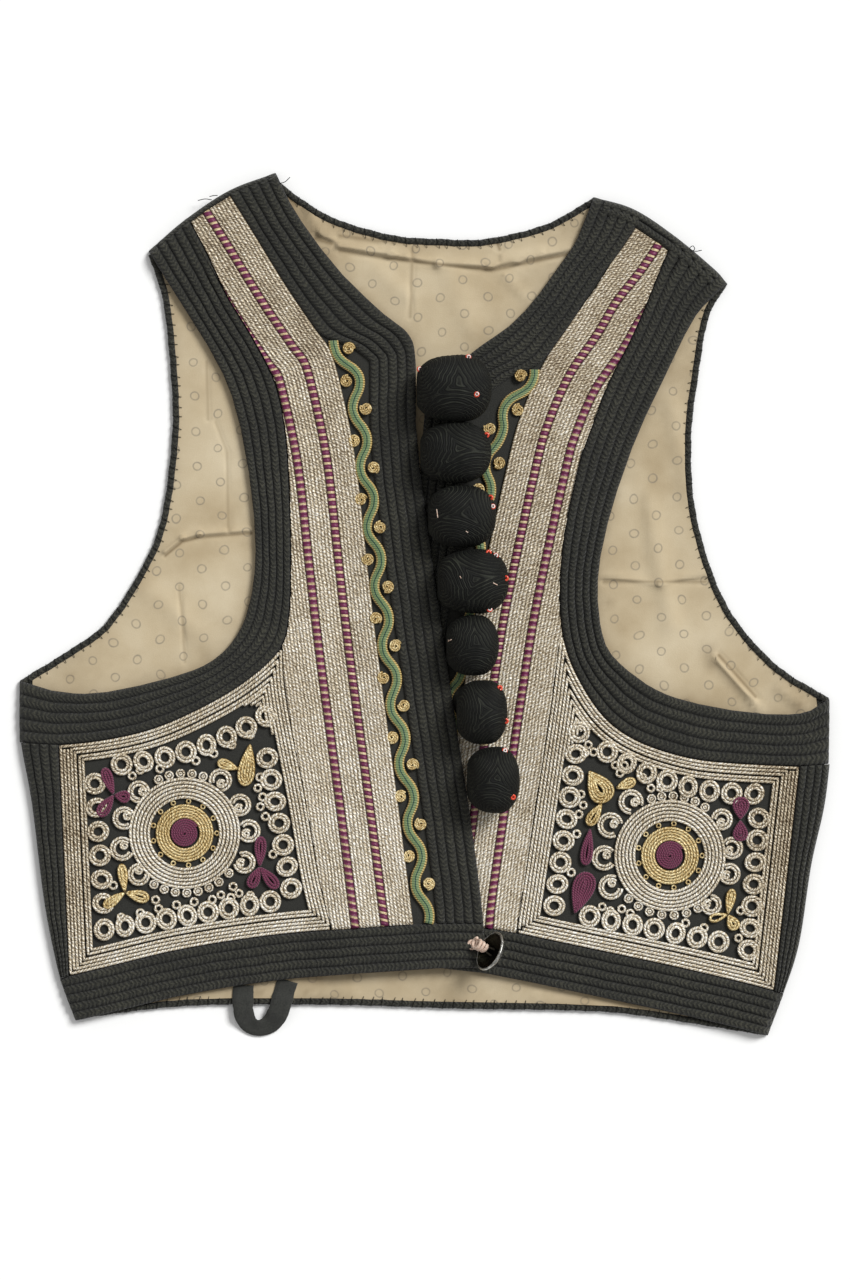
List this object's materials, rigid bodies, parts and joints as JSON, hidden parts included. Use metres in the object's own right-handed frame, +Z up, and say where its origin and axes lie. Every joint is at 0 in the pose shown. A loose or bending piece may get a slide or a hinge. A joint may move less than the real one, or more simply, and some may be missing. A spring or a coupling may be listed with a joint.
{
  "type": "embroidered folk vest",
  "caption": "Short sleeveless folk vest laid flat, left front lapped over the right, with braid bands, couched cord panels and ball buttons",
  "frame": {"origin": "on the table, under the middle of the laid garment's box", "axes": "+X across to the viewer's right, +Y up the garment to the neck, +Z up from the table, face up"},
  "size_m": [0.433, 0.4641, 0.0364],
  "materials": {
    "felted_wool": "matt black felted wool cloth",
    "wool_braid": "soft black wool braid, chevron face",
    "printed_cotton": "beige cotton printed with small grey rings, creased",
    "silver_cord": "couched silver-wrapped cord, aged to cream",
    "purple_silver_twist": "purple cord twisted with silver strand",
    "green_gold_braid": "green braid with beaded gold edges",
    "gold_cord": "couched gilt-wrapped cord",
    "purple_cord": "purple silk cord",
    "black_thread": "wound black thread",
    "pink_thread": "worn pink cotton thread",
    "black_tape": "woven black tape",
    "white_metal": "stamped white metal, worn dark grey with a bright rim"
  },
  "bodies": {
    "root": {"armhole_braid_left": "wool_braid", "armhole_braid_right": "wool_braid", "back_lining": "printed_cotton", "back_panel": "felted_wool", "ball_button_1": "black_thread", "ball_button_2": "black_thread", "ball_button_3": "black_thread", "ball_button_4": "black_thread", "ball_button_5": "black_thread", "ball_button_6": "black_thread", "ball_button_7": "black_thread", "edge_braid_left": "wool_braid", "edge_braid_right": "wool_braid", "front_left": "felted_wool", "front_right": "felted_wool", "green_braid_left": "green_gold_braid", "green_braid_right": "green_gold_braid", "hem_braid_left": "wool_braid", "hem_braid_right": "wool_braid", "hem_cord": "wool_braid", "leaf_left_1": "purple_cord", "leaf_left_2": "gold_cord", "leaf_left_3": "purple_cord", "leaf_left_4": "gold_cord", "leaf_right_1": "gold_cord", "leaf_right_2": "purple_cord", "leaf_right_3": "purple_cord", "leaf_right_4": "gold_cord", "left_armhole_cord": "wool_braid", "medallion_frame_left": "silver_cord", "medallion_frame_right": "silver_cord", "metal_button": "white_metal", "neck_cord": "wool_braid", "openwork_left": "silver_cord", "openwork_right": "silver_cord", "right_armhole_cord": "wool_braid", "rosette_left": "gold_cord", "rosette_right": "gold_cord", "scallops_left": "silver_cord", "scallops_right": "silver_cord", "side_braid_left": "wool_braid", "side_braid_right": "wool_braid", "silver_inner_left": "silver_cord", "silver_inner_right": "silver_cord", "silver_middle_left": "silver_cord", "silver_middle_right": "silver_cord", "silver_outer_left": "silver_cord", "silver_outer_right": "silver_cord", "tape_loop": "black_tape", "thread_shank": "pink_thread", "twist_inner_left": "purple_silver_twist", "twist_inner_right": "purple_silver_twist", "twist_outer_left": "purple_silver_twist", "twist_outer_right": "purple_silver_twist"}
  },
  "joints": []
}
